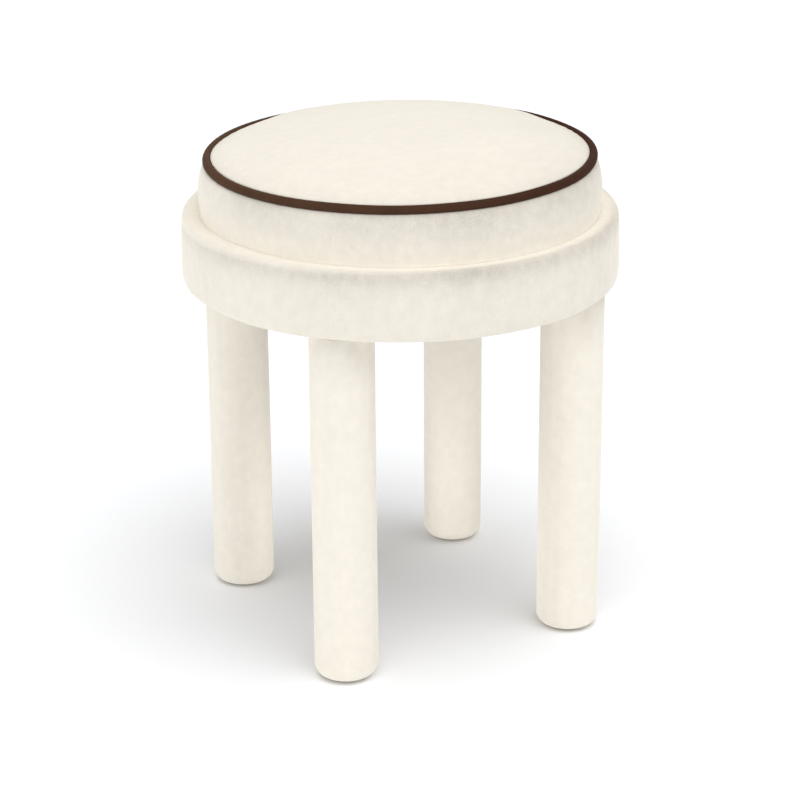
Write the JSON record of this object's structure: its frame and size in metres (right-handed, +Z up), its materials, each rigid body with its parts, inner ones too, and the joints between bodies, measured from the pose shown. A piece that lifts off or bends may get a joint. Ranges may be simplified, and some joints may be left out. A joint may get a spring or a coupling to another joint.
{
  "type": "footstool",
  "caption": "Round upholstered footstool with a crowned, piped cushion on a padded drum and padded round legs.",
  "frame": {"origin": "on the floor under the middle of the seat", "axes": "+Z up along the axis of the round seat, -Y to the front, midway between the two front legs"},
  "size_m": [0.4, 0.4, 0.47],
  "materials": {
    "velvet_cream": "matte",
    "piping_brown": "matte",
    "cord_cotton": "matte",
    "wadding_white": "matte",
    "foam_cream": "matte",
    "plywood_birch": "matte",
    "block_pine": "matte",
    "leg_beech": "satin",
    "dust_cloth_black": "matte",
    "glide_black": "satin",
    "steel_zinc": "satin",
    "steel_staple": "satin"
  },
  "bodies": {
    "root": {"seat_top_panel": "velvet_cream", "seat_side_band": "velvet_cream", "drum_cover": "velvet_cream", "leg_cover_back_right": "velvet_cream", "leg_cover_back_left": "velvet_cream", "leg_cover_front_left": "velvet_cream", "leg_cover_front_right": "velvet_cream", "piping_cover": "piping_brown", "piping_cord": "cord_cotton", "seat_top_wadding": "wadding_white", "seat_side_wadding": "wadding_white", "seat_foam": "foam_cream", "drum_foam": "foam_cream", "leg_wadding_back_right": "foam_cream", "leg_wadding_back_left": "foam_cream", "leg_wadding_front_left": "foam_cream", "leg_wadding_front_right": "foam_cream", "seat_board": "plywood_birch", "top_board": "plywood_birch", "base_ring": "plywood_birch", "rim_hoop": "plywood_birch", "spacer_block_1": "block_pine", "spacer_block_2": "block_pine", "spacer_block_3": "block_pine", "spacer_block_4": "block_pine", "spacer_block_5": "block_pine", "spacer_block_6": "block_pine", "spacer_block_7": "block_pine", "spacer_block_8": "block_pine", "leg_core_back_right": "leg_beech", "leg_core_back_left": "leg_beech", "leg_core_front_left": "leg_beech", "leg_core_front_right": "leg_beech", "dust_cover": "dust_cloth_black", "leg_glide_back_right": "glide_black", "leg_glide_back_left": "glide_black", "leg_glide_front_left": "glide_black", "leg_glide_front_right": "glide_black", "hanger_bolts": "steel_zinc", "tee_nuts": "steel_zinc", "glide_screws": "steel_zinc", "frame_screws": "steel_zinc", "seat_screws": "steel_zinc", "leg_staples": "steel_staple", "drum_top_staples": "steel_staple", "drum_bottom_staples": "steel_staple", "dust_cover_staples": "steel_staple", "seat_staples": "steel_staple"}
  },
  "joints": []
}
